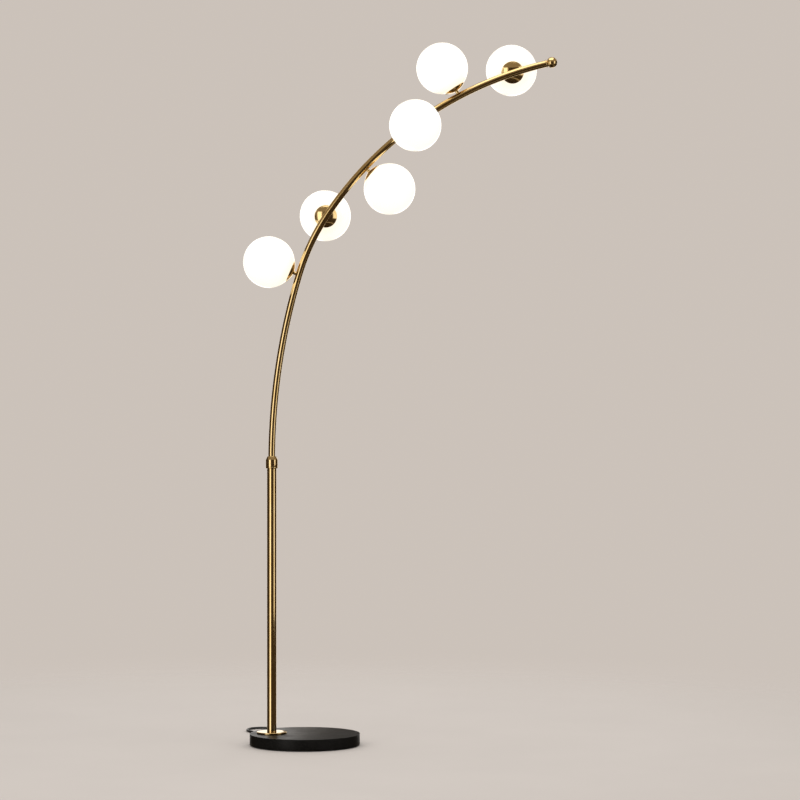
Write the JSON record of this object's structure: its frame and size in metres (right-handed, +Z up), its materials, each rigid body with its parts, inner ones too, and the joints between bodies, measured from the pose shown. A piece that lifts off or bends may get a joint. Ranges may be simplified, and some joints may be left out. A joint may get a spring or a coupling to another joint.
{
  "type": "arc floor lamp",
  "caption": "Arc floor lamp: a bent brass tube rises from an off-centre pole on a round black stone base and carries opal glass globes in a spiral around it.",
  "frame": {"origin": "on the floor under the middle of the round base, on the underside of its pad", "axes": "+Z up, +X towards the reach of the arc, +Y towards the back, where the cord leaves"},
  "size_m": [0.7349, 0.45, 1.6281],
  "materials": {
    "brass": "polished",
    "black_stone": "polished",
    "foot_pad": "matte foam",
    "steel": "zinc plated",
    "pin_metal": "nickel plated",
    "nylon": "natural nylon",
    "ceramic": "unglazed steatite",
    "lamp_glass": "frosted capsule",
    "opal_glass": "glossy opal, lit",
    "cord_sheath": "semi-matt sheath",
    "black_rubber": "matte",
    "black_plastic": "satin"
  },
  "bodies": {
    "stand": {"base_pad": "foot_pad", "base_disc": "black_stone", "base_washer": "steel", "base_nut": "steel", "pole_stud": "steel", "pole_insert": "steel", "pole_flange": "brass", "lower_pole": "brass", "guide_sleeve": "nylon", "lead_connector": "nylon", "supply_lead": "cord_sheath", "cord_gland": "black_rubber", "cord_to_switch": "cord_sheath", "switch_base": "black_plastic", "switch_cover": "black_plastic", "switch_block": "nylon", "cord_to_coil": "cord_sheath", "cord_coil": "cord_sheath", "cord_to_plug": "cord_sheath", "plug_body": "black_plastic", "plug_pin_1": "pin_metal", "plug_pin_2": "pin_metal"},
    "lock_collar": {"lock_collar": "brass"},
    "spigot_bush": {"spigot_bush": "nylon"},
    "arch": {"arch_tube": "brass", "wiring_loom": "cord_sheath", "end_ring": "brass", "end_ball": "brass", "stem_1": "brass", "cup_1": "brass", "lampholder_1": "ceramic", "bulb_1": "lamp_glass", "stem_2": "brass", "cup_2": "brass", "lampholder_2": "ceramic", "bulb_2": "lamp_glass", "stem_3": "brass", "cup_3": "brass", "lampholder_3": "ceramic", "bulb_3": "lamp_glass", "stem_4": "brass", "cup_4": "brass", "lampholder_4": "ceramic", "bulb_4": "lamp_glass", "stem_5": "brass", "cup_5": "brass", "lampholder_5": "ceramic", "bulb_5": "lamp_glass", "stem_6": "brass", "cup_6": "brass", "lampholder_6": "ceramic", "bulb_6": "lamp_glass"},
    "globe_1": {"globe_1": "opal_glass"},
    "globe_2": {"globe_2": "opal_glass"},
    "globe_3": {"globe_3": "opal_glass"},
    "globe_4": {"globe_4": "opal_glass"},
    "globe_5": {"globe_5": "opal_glass"},
    "globe_6": {"globe_6": "opal_glass"},
    "switch_button": {"switch_button": "black_plastic"}
  },
  "joints": [
    {"name": "collar_turn", "type": "hinge", "parent": "stand", "child": "lock_collar", "pos_m": [-0.0765, 0, 0.65], "axis": [0, 0, 1], "range_deg": [0, 180]},
    {"name": "arch_lift", "type": "slide", "parent": "stand", "child": "spigot_bush", "axis": [0, 0, 1], "range_m": [0, 0.08]},
    {"name": "arch_swivel", "type": "hinge", "parent": "spigot_bush", "child": "arch", "pos_m": [-0.0765, 0, 0.66], "axis": [0, 0, 1], "range_deg": [-90, 90]},
    {"name": "globe_1_turn", "type": "hinge", "parent": "arch", "child": "globe_1", "pos_m": [-0.08297, 0, 1.11693], "axis": [-0.9194, 0, 0.3933], "range_deg": [0, 360]},
    {"name": "globe_2_turn", "type": "hinge", "parent": "arch", "child": "globe_2", "pos_m": [0.04538, 0.07511, 1.22916], "axis": [-0.0445, 0.9948, 0.0913], "range_deg": [0, 360]},
    {"name": "globe_3_turn", "type": "hinge", "parent": "arch", "child": "globe_3", "pos_m": [0.19601, 0, 1.2862], "axis": [0.7573, 0, -0.6531], "range_deg": [0, 360]},
    {"name": "globe_4_turn", "type": "hinge", "parent": "arch", "child": "globe_4", "pos_m": [0.2551, -0.07487, 1.42607], "axis": [0.1077, -0.9916, -0.0716], "range_deg": [0, 360]},
    {"name": "globe_5_turn", "type": "hinge", "parent": "arch", "child": "globe_5", "pos_m": [0.31772, 0, 1.56517], "axis": [-0.537, 0, 0.8436], "range_deg": [0, 360]},
    {"name": "globe_6_turn", "type": "hinge", "parent": "arch", "child": "globe_6", "pos_m": [0.48078, 0.07402, 1.56898], "axis": [-0.0125, 0.9804, 0.1968], "range_deg": [0, 360]},
    {"name": "switch_press", "type": "slide", "parent": "stand", "child": "switch_button", "axis": [0, 0, -1], "range_m": [0, 0.002], "stiffness_N_per_m": 1500}
  ]
}
